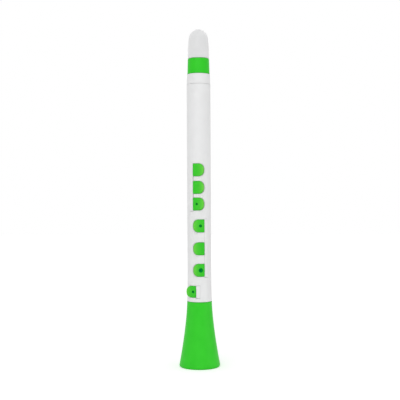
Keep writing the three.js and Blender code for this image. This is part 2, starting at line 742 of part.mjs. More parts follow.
// The ligature: a plain ring round the shank and the reed, a little wider at its foot
function ligature() {
  const top = LIGATURE_FOOT + LIGATURE_HEIGHT;
  const outerTop = RING_BORE_RADIUS + LIGATURE_WALL;
  const outerFoot = outerTop + LIGATURE_SWELL;
  return turned([
    [outerFoot - EDGE_BREAK, LIGATURE_FOOT],
    [outerFoot, LIGATURE_FOOT + EDGE_BREAK],
    [outerTop, top - EDGE_BREAK],
    [outerTop - EDGE_BREAK, top],
    [RING_BORE_RADIUS, top],
    [RING_BORE_RADIUS, LIGATURE_FOOT],
  ]);
}

// The cap: a thin cover that draws in slightly up to the mouthpiece's tip, and an elliptical dome above it
function mouthpieceCap() {
  const cover = (footRadius, domeHeight) => {
    const side = steps(0, 1, CURVE_STEPS - 3).slice(0, -1).map((share) => [
      footRadius - CAP_TAPER * share ** CAP_TAPER_POWER,
      CAP_FOOT + (TIP_HEIGHT - CAP_FOOT) * share,
    ]);
    const dome = steps(0, Math.PI / 2, CURVE_STEPS).slice(0, -1).map((angle) => [
      (footRadius - CAP_TAPER) * Math.cos(angle),
      TIP_HEIGHT + domeHeight * Math.sin(angle),
    ]);
    return [...side, ...dome, [0, TIP_HEIGHT + domeHeight]];
  };
  const inside = cover(RING_BORE_RADIUS, CAP_DOME_HEIGHT - CAP_WALL).reverse();
  const outside = cover(RING_BORE_RADIUS + CAP_WALL, CAP_DOME_HEIGHT);
  return turned([...inside, ...outside]);
}

// One bank's spine, hinge bar and keys, each key hung on its own hinge line and lifted off its hole
function keyBank({ bank, plan, group }) {
  group.add(namedMesh(`${bank.name}_spine`, spine(bank, plan), GREEN_SILICONE));
  group.add(namedMesh(`${bank.name}_hinge_bar`, hingeBar(bank, plan), WHITE_PLASTIC));
  for (const key of bank.keys) {
    const hinge = new THREE.Group();
    hinge.name = `${key.name}_hinge`;
    hinge.position.set(plan.hingeAcross, -plan.hingeOut, alongBank(bank, plan, key));
    hinge.rotation.z = -radians(KEY_LIFT);
    hinge.add(namedMesh(key.name, flapKey(plan, key), GREEN_SILICONE));
    group.add(hinge);
  }
  return group;
}

const banks = BANKS.map((bank) => {
  const plan = bankPlan(bank);
  return { bank, plan, group: bankGroup(bank, plan) };
});

const clarinet = new THREE.Group();
clarinet.name = "plastic_clarinet";
clarinet.add(
  namedMesh("bell", bell(), GREEN_PLASTIC),
  sealRing(BELL_SEAL.name, BELL_SEAL.height),
  namedMesh("body_tube", bodyTube(banks), WHITE_PLASTIC),
  ...banks.map(keyBank),
  namedMesh("thumb_rest", thumbRest(), WHITE_PLASTIC),
  ...MOUTHPIECE_SEALS.map(({ name, height }) => sealRing(name, height)),
  namedMesh("mouthpiece", mouthpiece(), WHITE_PLASTIC),
  namedMesh("reed", reed(), REED_PLASTIC),
  namedMesh("ligature", ligature(), GREEN_PLASTIC),
  namedMesh("mouthpiece_cap", mouthpieceCap(), WHITE_PLASTIC),
);

export default clarinet;
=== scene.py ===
"""Looks of a beginner's plastic clarinet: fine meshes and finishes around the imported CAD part.

Shapes are drawn in millimetres, in the part's own frame: +Z up along the bore, the finger keys face -Y,
and the origin is the centre of the bell's rim. Each piece is scaled to metres when it is finished.
"""

import json
import math

import bmesh
import bpy
from mathutils import Matrix, Vector


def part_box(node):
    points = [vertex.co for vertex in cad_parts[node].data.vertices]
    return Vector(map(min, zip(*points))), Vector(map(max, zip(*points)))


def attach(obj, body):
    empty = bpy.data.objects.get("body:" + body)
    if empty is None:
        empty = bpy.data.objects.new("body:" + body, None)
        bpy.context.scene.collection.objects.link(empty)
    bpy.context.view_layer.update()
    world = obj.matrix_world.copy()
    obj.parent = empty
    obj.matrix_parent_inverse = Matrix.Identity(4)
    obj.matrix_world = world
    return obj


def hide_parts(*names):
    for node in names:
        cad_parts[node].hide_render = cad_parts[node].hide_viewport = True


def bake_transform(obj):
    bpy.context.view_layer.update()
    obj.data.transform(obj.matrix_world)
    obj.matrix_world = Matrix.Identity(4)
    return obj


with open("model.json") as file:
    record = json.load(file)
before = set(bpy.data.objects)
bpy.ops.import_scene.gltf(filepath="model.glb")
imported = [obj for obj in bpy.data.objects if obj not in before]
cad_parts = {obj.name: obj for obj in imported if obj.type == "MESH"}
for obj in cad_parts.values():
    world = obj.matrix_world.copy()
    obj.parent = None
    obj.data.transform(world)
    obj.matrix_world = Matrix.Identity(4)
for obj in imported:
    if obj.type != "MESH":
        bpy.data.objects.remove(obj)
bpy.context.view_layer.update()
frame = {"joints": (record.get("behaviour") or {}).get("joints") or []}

MM = 0.001

# Fineness of round shapes
SEGMENTS = 144
HOLE_SEGMENTS = 48
DISC_SEGMENTS = 96
ROUND_STEPS = 6
CURVE_STEPS = 36
PAD_NOSE_STEPS = 48
TIP_STEPS = 24
REST_STEPS = 16
BAR_FACE_STEPS = 8
BAR_SHOULDER_STEPS = 2  # steps at each end of a bar's face that its rounded edges take up
OUTLINE_POINTS = 132
CROWN_SHARES = (0.9, 0.75, 0.55, 0.35, 0.15)  # sizes of a crowned top's rings, from the edge in
SUPPORT_INSET = 1.2  # where a flat end starts, in times the rounding of its edge
LIP_ANGLES = (0, 24, 48, 72)  # degrees round the lip of a recess
LIP_FLARE = 3  # how far a recess's cutter widens above its lip, in times the lip's rounding
PAST = 2.0  # how far a cutting shape runs past the surface it cuts

# Degrees between faces, above which an edge stays sharp
SMOOTH_LIMIT = 34
BLADE_SMOOTH_LIMIT = 30
MELTED_SMOOTH_LIMIT = 180

# Distances that count as none
SKIN_TOLERANCE = 0.01
WELD_DISTANCE = 1e-5
AXIS_TOLERANCE = 1e-6

# Bore, tenons and sockets
BORE_RADIUS = 6.5
TENON_RADIUS = 8.6
SOCKET_RADIUS = 8.9
TENON_EDGE = 0.6
GROOVE_RADIUS = 7.3
GROOVE_HALF = 0.8
SEAL_SECTION = 0.6
SEAL_CLEARANCE = 0.2
SOFT_EDGE = 0.3  # rounding of the moulded edges

# Body
BODY_RADIUS = 11.9
FOOT_FLARE = 0.55
FOOT_FLARE_HEIGHT = 32

# Bell
RIM_RADIUS = 20.8
BELL_FLARE_POWER = 1.5
BELL_WALL = 2.8
RIM_ROUND = 1.8
RIM_FACE = 1.4
BELL_THROAT_LENGTH = 14

# Mouthpiece, reed, ligature and cap
COLLAR_DROP = 0.15  # how far the collar closes its seam with the body
COLLAR_TAPER = 0.5
SHANK_RADIUS = 9.0
RING_BORE_RADIUS = 9.3
THROAT_RADIUS = 4.4
TABLE_OFFSET = 6.0
REED_SEAT = 6.1
REED_THICKNESS = 2.9
REED_TIP_THICKNESS = 0.4
TIP_SLIMMING = 0.8
TIP_HALF_WIDTH = 5.2
TIP_ROUND_LENGTH = 2.5
TIP_THICKNESS = 1.4
TIP_OPENING = 1.0
FACING_LENGTH = 13
WINDOW_WIDTH = 8
WINDOW_LENGTH = 18
WINDOW_END_WALL = 3
CHAMBER_TAPER_LENGTH = 10
CAP_GRIP = 3.5
LIGATURE_FOOT_RADIUS = 11.12
LIGATURE_TOP_RADIUS = 10.7
LIGATURE_FOOT_ROUND = 0.15
LIGATURE_TOP_ROUND = 0.95
CAP_FOOT_RADIUS = 10.6
CAP_FOOT_ROUND = 0.45
CAP_WALL = 1.3
CAP_TAPER = 0.9
CAP_TAPER_POWER = 3

# Flap keys, drawn about the hinge line: across to the tip, outwards and up
PAD_BACK = 0.8
PAD_REACH = 10.3
LITTLE_FINGER_REACH = 10.0
PAD_NOSE = 6.1
PAD_NOSE_POWER = 2.4
PAD_CORNER = 1.0
PAD_HALF_THICKNESS = 0.8
PAD_TOP_ROUND = 0.85
PAD_FOOT_ROUND = 0.3
PAD_CROWN = 0.2
KEY_LIFT = 12
DISC_RADIUS = 4.2
DISC_THICKNESS = 0.6
DISC_ROUND = 0.2
VENT_LIP = 0.2
VENT_LIP_MIDDLE = 0.3  # of the lip's size, from its corner to the middle of its rounding
VENT_FLOOR = 0.3  # what is left of the flap under a vent's well

# The vents through some keys: radius of the mouth and of the throat, and distance from the hinge edge
VENTS = {
    "left_hand_key_3": (1.05, 0.3, 4.0),
    "right_hand_key_1": (1.4, 0.35, 4.0),
    "right_hand_key_3": (2.15, 0.5, 3.9),
    "little_finger_key": (1.3, 0.4, 2.6),
}

# Recesses under the keys and beside them
POCKET_CLEARANCE = 0.2
NOSE_CLEARANCE = 0.3
POCKET_DEPTH = 2.9
RING_DEPTH = 2.3
RING_RADIUS = 4.0
TONE_HOLE_RADIUS = 3.2
TONE_HOLE_OFFSET = 0.5
HOLE_OVERRUN = 0.4  # how far a tone hole's cutter runs past the ring round it
POCKET_LIP = 0.15

# Hinge bars, and the soft strips clamped under them
BAR_ANGLE = 37.5
BAR_HALF_WIDTH = 1.95
BAR_RISE = 0.4
BAR_THICKNESS = 1.6
BAR_ROUND = 0.32
BAR_END_ROUND = 0.26
BAR_SNUG_GAP = 0.03
BAR_SEAM = 0.08  # between a bar and the body on the side of the keys
LEFT_BAR_SEAM = 0.5
BAR_FOOT_GAP = 0.25
GROOVE_LIP = 0.1
SPINE_TOP_DEPTH = 1.4
SPINE_THICKNESS = 1.0
SPINE_LIP = 0.45
SPINE_ROOM = 0.2
SPINE_END_ROUND = 0.24
GROOVE_FLOOR_DEPTH = 2.6
WEB_HALF_THICKNESS = 0.33
WEB_ROUND = 0.2
WEB_END_ROUND = 0.16
WEB_MARGIN = 0.6
WEB_SHORTFALL = 0.3  # how far inside the flap the web stops short of the hinge line

# Thumb rest
REST_CLEARANCE = 0.3
REST_THICKNESS = 1.6
REST_WIDTH = 11
SHELF_WIDTH = 10
SHELF_THICKNESS = 2.6
SHELF_DROOP = 3.5
SHELF_REACH = 6.4
REST_VOXEL = 0.22
REST_SMOOTHING_ROUNDS = 6
REST_SMOOTHING_SHARE = 0.5

# Each bank of keys: its angle round the bore from the front, in degrees, the reach of its keys from
# their hinge line, the seam beside its bar, and its keys from the top down
BANKS = {
    "left_hand": (0, PAD_REACH, LEFT_BAR_SEAM, ("left_hand_key_1", "left_hand_key_2", "left_hand_key_3")),
    "right_hand": (0, PAD_REACH, BAR_SEAM, ("right_hand_key_1", "right_hand_key_2", "right_hand_key_3")),
    "little_finger": (-41.5, LITTLE_FINGER_REACH, BAR_SEAM, ("little_finger_key",)),
    "thumb": (180, PAD_REACH, BAR_SEAM, ("thumb_key",)),
}

# The photograph's view, in millimetres and degrees
VIEW_DISTANCE = 800
VIEW_WIDTH = 401.8
VIEW_HEIGHT = 166.7
VIEW_TURN = 2.3
VIEW_ROLL = 0.27
VIEW_SIDESTEP = 0.93
SENSOR_WIDTH = 36

# Light: the surround's strength, the floor's paper, and what it adds to be seen as white, near and far
WORLD_LIGHT = 0.66
PAPER_COLOUR = (0.9, 0.9, 0.9, 1)
PAPER_ROUGHNESS = 0.9
FLOOR_HALF_WIDTH = 3000
FLOOR_GLOW_NEAR = 0.31
FLOOR_GLOW_FAR = 0.42
GLOW_NEAR_REACH = 250
GLOW_FAR_REACH = 1200

# Lamps: where each stands, the point it faces, and its width and height, in millimetres; then its power
LAMPS = {
    "front_lamp": ((-40, -1500, 420), (0, 0, 170), (1500, 1600), 5.3),
    "top_lamp": ((-150, -700, 1500), (0, 0, 150), (1000, 1000), 4),
    "right_fill": ((450, -250, 20), (0, 0, 110), (300, 200), 0.38),
    "left_fill": ((-450, -250, 20), (0, 0, 110), (300, 200), 0.24),
}


# Heights from the frame


def foot_and_top(node):
    """The lowest and the highest point of a node, in millimetres."""
    low, high = (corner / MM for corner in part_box(node))
    return low.z, high.z


TENON_FOOT, BODY_TOP = foot_and_top("body_tube")
BELL_TOP = foot_and_top("bell")[1]
REED_FOOT, TIP_HEIGHT = foot_and_top("reed")
MOUTHPIECE_FOOT = foot_and_top("mouthpiece")[0]
LIGATURE_FOOT, LIGATURE_TOP = foot_and_top("ligature")
CAP_FOOT, CAP_TOP = foot_and_top("mouthpiece_cap")
REST_FOOT, REST_TOP = foot_and_top("thumb_rest")
JOINT_GAP = CAP_FOOT - LIGATURE_TOP
BODY_FOOT = BELL_TOP + JOINT_GAP
COLLAR_FOOT = BODY_TOP + JOINT_GAP
COLLAR_TOP = LIGATURE_FOOT - JOINT_GAP
SHANK_TOP = CAP_FOOT + CAP_GRIP
SHANK_FAR = SHANK_RADIUS + PAST


def middle_height(node):
    return sum(foot_and_top(node)) / 2


# Outlines


def spread(low, high, count):
    """The values from low to high in a count of equal steps."""
    return [low + (high - low) * step / count for step in range(count + 1)]


def rounded(corners):
    """An outline of (x, y) points and (x, y, radius) corners, with each corner drawn as an arc."""
    outline = []
    for index, corner in enumerate(corners):
        here = Vector(corner[:2])
        if len(corner) == 2:
            outline.append(here)
            continue
        before = Vector(corners[index - 1][:2]) - here
        after = Vector(corners[(index + 1) % len(corners)][:2]) - here
        half = before.angle(after) / 2
        reach = min(corner[2] / math.tan(half), before.length / 2, after.length / 2)
        bisector = (before.normalized() + after.normalized()).normalized()
        centre = here + bisector * (reach / math.cos(half))
        start = here + before.normalized() * reach - centre
        end = here + after.normalized() * reach - centre
        turn = math.atan2(start.cross(end), start.dot(end))
        for share in spread(0, 1, ROUND_STEPS):
            outline.append(centre + Matrix.Rotation(turn * share, 2) @ start)
    return outline


def even(outline, count):
    """A closed outline drawn again with equally spaced points."""
    closed = [*outline, outline[0]]
    lengths = [(b - a).length for a, b in zip(closed, closed[1:])]
    total = sum(lengths)
    points = []
    index = 0
    walked = 0.0
    for step in range(count):
        goal = total * step / count
        while walked + lengths[index] < goal:
            walked += lengths[index]
            index += 1
        share = (goal - walked) / lengths[index]
        points.append(closed[index].lerp(closed[index + 1], share))
    return points


def inset(outline, distance):
    """A closed outline that runs anticlockwise, moved inwards by a distance."""
    moved = []
    for index, here in enumerate(outline):
        along = outline[(index + 1) % len(outline)] - outline[index - 1]
        inwards = Vector((-along.y, along.x)).normalized()
        moved.append(here + inwards * distance)
    return moved


def quarter():
    """The angles of a rounded edge."""
    return spread(0, math.pi / 2, ROUND_STEPS)


def arc(radius, start, end, steps):
    """Points round the axis, as (sideways, outwards), between two angles from straight outwards."""
    return [(radius * math.sin(angle), radius * math.cos(angle)) for angle in spread(start, end, steps)]


def curve(start, control, end):
    """Points of a quadratic curve."""

    def between(t, a, b, c):
        return (1 - t) ** 2 * a + 2 * t * (1 - t) * b + t * t * c

    axes = list(zip(start, control, end))
    return [tuple(between(t, *values) for values in axes) for t in spread(0, 1, CURVE_STEPS)]


# Solids, drawn in millimetres


def new_object(name, points, faces):
    mesh = bpy.data.meshes.new(name)
    mesh.from_pydata([tuple(point) for point in points], [], faces)
    shape = bmesh.new()
    shape.from_mesh(mesh)
    bmesh.ops.recalc_face_normals(shape, faces=shape.faces)
    shape.to_mesh(mesh)
    shape.free()
    made = bpy.data.objects.new(name, mesh)
    bpy.context.scene.collection.objects.link(made)
    return made


def turned(name, outline, segments=SEGMENTS):
    """A solid of revolution from a closed outline of (radius, height) points."""
    points = []
    rings = []
    for radius, height in outline:
        first = len(points)
        if radius < AXIS_TOLERANCE:
            points.append((0, 0, height))
            rings.append([first] * segments)
            continue
        for step in range(segments):
            angle = 2 * math.pi * step / segments
            points.append((radius * math.cos(angle), radius * math.sin(angle), height))
        rings.append(range(first, first + segments))
    return new_object(name, points, ring_faces(rings + rings[:1]))


def ring_faces(rings):
    """The faces between rings of equally many point numbers, without the sides that have no width."""
    faces = []
    for lower, upper in zip(rings, rings[1:]):
        count = len(lower)
        for step in range(count):
            ahead = (step + 1) % count
            corners = [lower[step], lower[ahead], upper[ahead], upper[step]]
            face = list(dict.fromkeys(corners))
            if len(face) > 2:
                faces.append(face)
    return faces


def lofted(name, rings):
    """A closed solid through rings of equally many points, with a flat face at each end."""
    count = len(rings[0])
    points = [point for ring in rings for point in ring]
    numbers = [list(range(first, first + count)) for first in range(0, len(points), count)]
    faces = ring_faces(numbers) + [numbers[0][::-1], numbers[-1]]
    return new_object(name, points, faces)


def rounded_plate(name, outline, low, high, low_round, high_round, crown=0.0):
    """A plate of an outline in (x, y), between two heights, with rounded edges and perhaps a crown."""
    levels = [(low_round * SUPPORT_INSET, low)]
    for angle in quarter():
        levels.append((low_round * (1 - math.sin(angle)), low + low_round * (1 - math.cos(angle))))
    for angle in reversed(quarter()):
        levels.append((high_round * (1 - math.sin(angle)), high - high_round * (1 - math.cos(angle))))
    if not crown:
        levels.append((high_round * SUPPORT_INSET, high))
    rings = [[(*point, z) for point in inset(outline, distance)] for distance, z in levels]
    if not crown:
        return lofted(name, rings)
    edge = [Vector(point) for point in rings[-1]]
    middle = sum(edge, Vector()) / len(edge)
    for share in CROWN_SHARES:
        raised = Vector((0, 0, crown * (1 - share * share)))
        rings.append([middle + (point - middle) * share + raised for point in edge])
    return fanned(lofted(name, rings))


def fanned(made):
    """The solid with its last face split into triangles that meet at the face's middle."""
    shape = bmesh.new()
    shape.from_mesh(made.data)
    shape.faces.ensure_lookup_table()
    bmesh.ops.poke(shape, faces=shape.faces[-1:])
    shape.to_mesh(made.data)
    shape.free()
    return made


def placed(made, matrix):
    """The object with its mesh moved by a matrix."""
    made.data.transform(matrix)
    if matrix.determinant() < 0:
        made.data.flip_normals()
    return made


def applied(made):
    """The object with its modifiers worked into its mesh."""
    graph = bpy.context.evaluated_depsgraph_get()
    result = bpy.data.meshes.new_from_object(made.evaluated_get(graph))
    spent = made.data
    made.modifiers.clear()
    made.data = result
    bpy.data.meshes.remove(spent)
    return made


def combined(made, other, operation):
    """The object after another solid is cut out of it, joined to it or kept in common with it."""
    modifier = made.modifiers.new(operation, "BOOLEAN")
    modifier.operation = operation
    modifier.solver = "MANIFOLD"
    modifier.object = other
    applied(made)
    spent = other.data
    bpy.data.objects.remove(other)
    bpy.data.meshes.remove(spent)
    return made


def cut(made, other):
    return combined(made, other, "DIFFERENCE")


def joined(made, other):
    return combined(made, other, "UNION")


def common(made, other):
    return combined(made, other, "INTERSECT")


# Axes of drawings that are made flat and then set up: columns are where x, y and z go
FACING_OUT = Matrix(((1, 0, 0, 0), (0, 0, -1, 0), (0, 1, 0, 0), (0, 0, 0, 1)))
SIDE_VIEW = Matrix(((0, 0, 1, 0), (1, 0, 0, 0), (0, 1, 0, 0), (0, 0, 0, 1)))


def prism(name, outline, low, high):
    """A plain prism along z of an outline in (x, y)."""
    return lofted(name, [[(*point, z) for point in outline] for z in (low, high)])


def side_prism(name, outline, width):
    """A side view drawn in (y, z), as a prism of a width centred on x = 0."""
    return placed(prism(name, outline, -width / 2, width / 2), SIDE_VIEW)


def radial_peg(name, radius, low, high, across, up):
    """A round peg that runs outwards, along -Y, from one distance off the axis to another."""
    outline = [(radius, low), (radius, high), (0, high), (0, low)]
    peg = turned(name, outline, HOLE_SEGMENTS)
    return placed(peg, Matrix.Translation((across, 0, up)) @ FACING_OUT)


# Finishing


def shade(mesh, limit=SMOOTH_LIMIT):
    """Smooth faces, with sharp edges where faces meet at more than a limit."""
    shape = bmesh.new()
    shape.from_mesh(mesh)
    bmesh.ops.remove_doubles(shape, verts=shape.verts, dist=WELD_DISTANCE)
    bmesh.ops.dissolve_degenerate(shape, edges=shape.edges, dist=WELD_DISTANCE)
    for face in shape.faces:
        face.smooth = True
    for edge in shape.edges:
        edge.smooth = edge.calc_face_angle(0) < math.radians(limit)
    shape.to_mesh(mesh)
    shape.free()


def skin_normals(mesh, radius_at, slope_at):
    """Gives the faces in the round skin the skin's own normals, so that cuts leave no streaks."""
    normals = [corner.vector.copy() for corner in mesh.corner_normals]
    points = [vertex.co for vertex in mesh.vertices]
    on_skin = [abs(point.xy.length - radius_at(point.z)) < SKIN_TOLERANCE for point in points]
    for face in mesh.polygons:
        if not all(on_skin[number] for number in face.vertices):
            continue
        for corner, number in zip(face.loop_indices, face.vertices):
            outwards = points[number].xy.normalized()
            normals[corner] = Vector((*outwards, -slope_at(points[number].z))).normalized()
    mesh.normals_split_custom_set(normals)


def finished(made, material, body, slot, *nodes):
    """Scales a piece to metres, gives it its finish and the body it rides on, and hides the CAD nodes it
    stands for.
    """
    made.data.transform(Matrix.Scale(MM, 4))
    made.data.materials.clear()
    made.data.materials.append(material)
    if nodes:
        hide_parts(*nodes)
    if body:
        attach(made, body)
    return made


# Materials

# Marks on the points of a soft flap: where painted light pales its nose and painted shade darkens its
# vent
NOSE_LIGHT_MASK = "nose_light_mask"
VENT_SHADE_MASK = "vent_shade_mask"
# how late the painted light at the nose sets in along the flap
NOSE_FADE_POWER = 3.0

# Painted shade in crevices: the colour darkens where ambient occlusion finds other walls close
CREVICE_REACH = 1.0  # millimetres from wall to wall
CREVICE_SAMPLES = 8
CREVICE_RANGE = (0.3, 0.9)  # openness at which the painted shade is full, and at which it is gone

# Noise, with scales in features to a metre: the colour's mottling, signs of handling, and the grain
MOTTLING_SCALE = 90
MOTTLING_DETAIL = 4
MOTTLING_RANGE = (0.35, 0.65)  # noise at which the colour is darkest, and at which it is lightest
HANDLING_SCALE = 260
HANDLING_DETAIL = 6
HANDLING_ROUGHNESS = 0.6
GRAIN_DETAIL = 2
GRAIN_DEPTH = 0.1  # millimetres


def node(tree, kind, **values):
    made = tree.nodes.new(kind)
    for name, value in values.items():
        if name in made.inputs:
            made.inputs[name].default_value = value
        else:
            setattr(made, name, value)
    return made


def ramp(tree, source, positions, colours):
    """A colour between two, as a socket runs from one position to the other."""
    made = tree.nodes.new("ShaderNodeValToRGB")
    for element, position, colour in zip(made.color_ramp.elements, positions, colours):
        element.position = position
        element.color = (*colour, 1)
    tree.links.new(source, made.inputs["Fac"])
    return made.outputs["Color"]


def mapped(tree, source, low, high, start=0.0, end=1.0):
    """A value from low to high, as a socket runs from start to end."""
    limits = {"From Min": start, "From Max": end, "To Min": low, "To Max": high}
    made = node(tree, "ShaderNodeMapRange", **limits)
    tree.links.new(source, made.inputs["Value"])
    return made.outputs["Result"]


def worked_out(tree, operation, first, second):
    """The result of an operation on two sockets."""
    made = node(tree, "ShaderNodeMath", operation=operation)
    tree.links.new(first, made.inputs[0])
    tree.links.new(second, made.inputs[1])
    return made.outputs["Value"]


def marked(tree, name):
    """A value marked on the points of the mesh."""
    return node(tree, "ShaderNodeAttribute", attribute_name=name).outputs["Fac"]


def noise(tree, scale, detail, roughness=0.5):
    """Noise over the object's own coordinates, with its scale in features to a metre."""
    place = node(tree, "ShaderNodeTexCoord")
    made = node(tree, "ShaderNodeTexNoise", Scale=scale, Detail=detail, Roughness=roughness)
    tree.links.new(place.outputs["Object"], made.inputs["Vector"])
    return made.outputs["Fac"]


def faded(tree, colour, target, share):
    """A colour that turns into another by a share from 0 to 1."""
    made = node(tree, "ShaderNodeMix", data_type="RGBA")
    tree.links.new(share, made.inputs["Factor"])
    tree.links.new(colour, made.inputs["A"])
    made.inputs["B"].default_value = (*target, 1)
    return made.outputs["Result"]


def painted_flap_tints(tree, colour, nose, vent):
    """The colour of a soft flap: painted light pales it towards its nose, and painted shade darkens its
    vent.
    """
    late = node(tree, "ShaderNodeMath", operation="POWER")
    late.inputs[1].default_value = NOSE_FADE_POWER
    tree.links.new(marked(tree, NOSE_LIGHT_MASK), late.inputs[0])
    nose_lit = faded(tree, colour, nose, late.outputs["Value"])
    return faded(tree, nose_lit, vent, marked(tree, VENT_SHADE_MASK))


def moulded(name, dark, light, crevice_shade, gloss, specular, grain, painted_tints=None, chalk=0.0):
    """A moulded surface: mottled colour with painted shade in crevices, uneven gloss and a fine grain.

    dark and light are the two ends of the mottling, crevice_shade the colour of the painted shade that
    takes over close to other walls, gloss the range of roughness, specular the level of reflection, and
    grain the scale and strength of the bump. painted_tints are the colours of the painted light at a soft
    flap's nose and of the painted shade in its vent, where the reflection is taken out too, and chalk is
    how flat a dull surface looks under frontal light.
    """
    material = bpy.data.materials.new(name)
    material.use_nodes = True
    tree = material.node_tree
    shader = tree.nodes["Principled BSDF"]
    shader.inputs["Specular IOR Level"].default_value = specular
    shader.inputs["Diffuse Roughness"].default_value = chalk
    mottling = ramp(tree, noise(tree, MOTTLING_SCALE, MOTTLING_DETAIL), MOTTLING_RANGE, (dark, light))
    reach = CREVICE_REACH * MM
    # painted shade: the colour turns towards crevice_shade where other walls are close
    hollow = node(tree, "ShaderNodeAmbientOcclusion", Distance=reach, samples=CREVICE_SAMPLES)
    shade_share = mapped(tree, hollow.outputs["AO"], 1, 0, *CREVICE_RANGE)
    colour = faded(tree, mottling, crevice_shade, shade_share)
    # painted light at a flap's nose and painted shade in its vent
    if painted_tints:
        colour = painted_flap_tints(tree, colour, *painted_tints)
        # painted shade: the reflection is taken out inside the vent
        vent_shaded_specular = mapped(tree, marked(tree, VENT_SHADE_MASK), specular, 0)
        tree.links.new(vent_shaded_specular, shader.inputs["Specular IOR Level"])
    tree.links.new(colour, shader.inputs["Base Color"])
    handled = noise(tree, HANDLING_SCALE, HANDLING_DETAIL, HANDLING_ROUGHNESS)
    tree.links.new(mapped(tree, handled, *gloss), shader.inputs["Roughness"])
    scale, strength = grain
    bump = node(tree, "ShaderNodeBump", Strength=strength, Distance=GRAIN_DEPTH * MM)
    tree.links.new(noise(tree, scale, GRAIN_DETAIL), bump.inputs["Height"])
    tree.links.new(bump.outputs["Normal"], shader.inputs["Normal"])
    return material


WHITE = moulded(
    "white_plastic",
    dark=(0.785, 0.788, 0.79),
    light=(0.81, 0.812, 0.813),
    crevice_shade=(0.7, 0.7, 0.69),
    gloss=(0.3, 0.42),
    specular=0.45,
    grain=(1500, 0.1),
)
CAP_WHITE = moulded(
    "cap_plastic",
    dark=(0.788, 0.791, 0.793),
    light=(0.808, 0.811, 0.813),
    crevice_shade=(0.7, 0.7, 0.69),
    gloss=(0.42, 0.56),
    specular=0.4,
    grain=(2200, 0.14),
    chalk=1.0,
)
GREEN = moulded(
    "green_plastic",
    dark=(0.017, 0.568, 0.006),
    light=(0.022, 0.6, 0.009),
    crevice_shade=(0.008, 0.45, 0.003),
    gloss=(0.42, 0.56),
    specular=0.32,
    grain=(1500, 0.1),
)
SILICONE = moulded(
    "green_silicone",
    dark=(0.02, 0.53, 0.006),
    light=(0.029, 0.565, 0.009),
    crevice_shade=(0.004, 0.33, 0.004),
    # painted light at the nose, then painted shade inside the vent
    painted_tints=((0.15, 0.64, 0.05), (0.001, 0.36, 0.055)),
    gloss=(0.5, 0.64),
    specular=0.35,
    grain=(2600, 0.18),
)
REED_WHITE = moulded(
    "reed_plastic",
    dark=(0.78, 0.76, 0.66),
    light=(0.82, 0.8, 0.71),
    crevice_shade=(0.66, 0.63, 0.52),
    gloss=(0.25, 0.38),
    specular=0.5,
    grain=(900, 0.1),
)
RUBBER = moulded(
    "seal_rubber",
    dark=(0.012, 0.012, 0.012),
    light=(0.022, 0.022, 0.023),
    crevice_shade=(0.006, 0.006, 0.006),
    gloss=(0.3, 0.5),
    specular=0.5,
    grain=(1800, 0.15),
)


# The pieces


def flare_share(height):
    """How far down the flare of the body's foot a height is: 0 at its top and above, 1 at the foot."""
    return max(0.0, 1 - (height - BODY_FOOT) / FOOT_FLARE_HEIGHT)


def body_radius(height):
    return BODY_RADIUS + FOOT_FLARE * flare_share(height) ** 2


def body_slope(height):
    return -2 * FOOT_FLARE * flare_share(height) / FOOT_FLARE_HEIGHT


def bell_radius(height):
    top = body_radius(BODY_FOOT)
    share = max(0.0, 1 - height / BELL_TOP)
    return top + (RIM_RADIUS - top) * share**BELL_FLARE_POWER


def bell():
    """The flared shell with a rounded rim and a socket for the body's tenon."""
    socket_floor = TENON_FOOT - JOINT_GAP
    throat_foot = socket_floor - BELL_THROAT_LENGTH
    face_outside = RIM_RADIUS - RIM_ROUND
    face_inside = face_outside - RIM_FACE
    round_width = bell_radius(RIM_ROUND) - face_outside

    def inside(height):
        return bell_radius(height) - BELL_WALL

    rim = [(face_outside + round_width * math.sin(a), RIM_ROUND * (1 - math.cos(a))) for a in quarter()]
    outside = [(bell_radius(z), z) for z in spread(RIM_ROUND, BELL_TOP - SOFT_EDGE, CURVE_STEPS)]
    throat = curve(
        (BORE_RADIUS, socket_floor),
        (BORE_RADIUS, (socket_floor + throat_foot) / 2),
        (inside(throat_foot), throat_foot),
    )
    flare = curve(
        (inside(throat_foot), throat_foot),
        (inside(throat_foot / 2), throat_foot / 2),
        (face_inside, 0),
    )
    outline = rounded(
        [
            *rim,
            *outside[1:],
            (bell_radius(BELL_TOP), BELL_TOP, SOFT_EDGE),
            (SOCKET_RADIUS, BELL_TOP, SOFT_EDGE),
            (SOCKET_RADIUS, socket_floor),
            *throat,
            *flare[1:-1],
            (face_inside, 0, SOFT_EDGE),
        ]
    )
    made = turned("bell_moulding", outline)
    shade(made.data)
    return finished(made, GREEN, "bell", "green_plastic", "bell")


def seal_groove(name):
    """The corners of a tenon's outline at the groove of a seal, going up."""
    middle = middle_height(name)
    low = middle - GROOVE_HALF
    high = middle + GROOVE_HALF
    corners = [(TENON_RADIUS, low), (GROOVE_RADIUS, low), (GROOVE_RADIUS, high), (TENON_RADIUS, high)]
    return [(*corner, SOFT_EDGE / 2) for corner in corners]


def seal(name, body):
    """A rubber ring in its groove."""
    ring = SOCKET_RADIUS - SEAL_CLEARANCE - SEAL_SECTION
    middle = middle_height(name)
    angles = spread(0, 2 * math.pi, 4 * ROUND_STEPS)[:-1]
    outline = [(ring + SEAL_SECTION * math.cos(a), middle + SEAL_SECTION * math.sin(a)) for a in angles]
    made = turned(f"{name}_ring", outline)
    shade(made.data)
    return finished(made, RUBBER, body, "seal_rubber", name)


